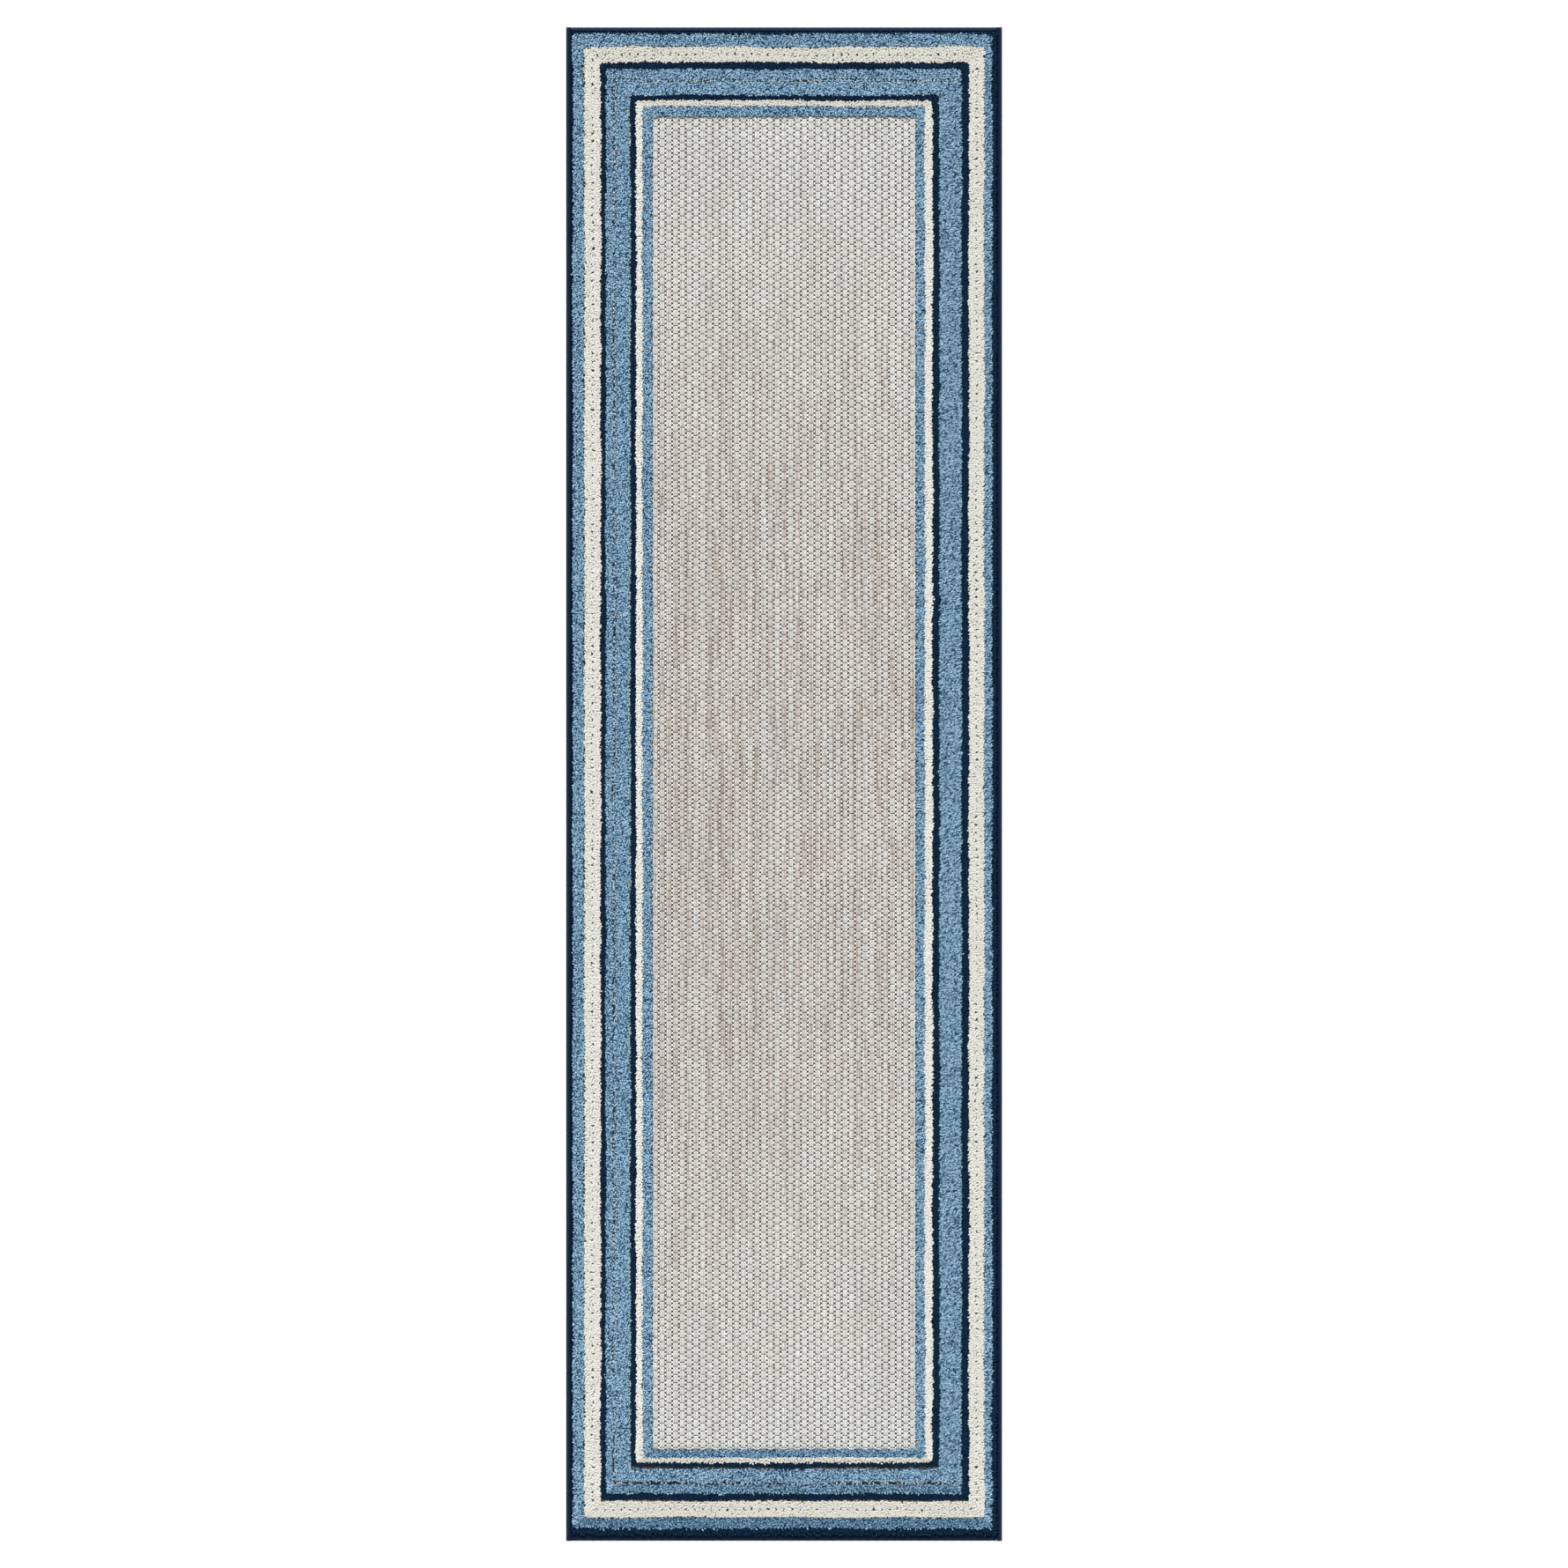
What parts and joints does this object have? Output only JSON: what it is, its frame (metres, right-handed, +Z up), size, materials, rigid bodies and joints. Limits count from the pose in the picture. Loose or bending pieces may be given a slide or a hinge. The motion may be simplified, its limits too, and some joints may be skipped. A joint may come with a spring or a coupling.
{
  "type": "runner rug",
  "caption": "Long narrow runner rug with a flat-woven greige field, raised blue, cream and navy cut-pile border bands, serged sides and bound ends.",
  "frame": {"origin": "middle of the underside, on the floor", "axes": "+Y along the length towards the top end, +X across the width, +Z up out of the pile"},
  "size_m": [0.66, 2.29, 0.01],
  "materials": {
    "back_coat": "matt latex film over a woven back",
    "ground_yarn": "tan ground yarn, plain weave",
    "field_yarn": "flat-woven ivory, grey and taupe polypropylene yarn",
    "navy_yarn": "cut pile, twisted yarn",
    "blue_yarn": "cut pile, twisted yarn",
    "cream_yarn": "cut pile, twisted yarn",
    "edge_yarn": "overcast yarn, fine cross ribs",
    "binding_tape": "folded woven tape, slight sheen",
    "sewing_thread": "sewing thread",
    "filler_cord": "undyed filler cord"
  },
  "bodies": {
    "root": {"latex_back_coat": "back_coat", "ground_weft_lower": "ground_yarn", "stuffer_warp": "ground_yarn", "ground_weft_upper": "ground_yarn", "field_binding_weft": "field_yarn", "field_warp_floats": "field_yarn", "navy_pile_edge": "navy_yarn", "blue_pile_outer": "blue_yarn", "cream_pile_wide": "cream_yarn", "navy_pile_middle": "navy_yarn", "blue_pile_wide_outer": "blue_yarn", "blue_pile_wide_inner": "blue_yarn", "navy_pile_inner": "navy_yarn", "cream_pile_thin": "cream_yarn", "blue_pile_inner": "blue_yarn", "serging_left": "edge_yarn", "serging_right": "edge_yarn", "filler_cord_left": "filler_cord", "filler_cord_right": "filler_cord", "binding_tape_top": "binding_tape", "binding_tape_bottom": "binding_tape", "sewing_thread_top": "sewing_thread", "sewing_thread_bottom": "sewing_thread"}
  },
  "joints": []
}
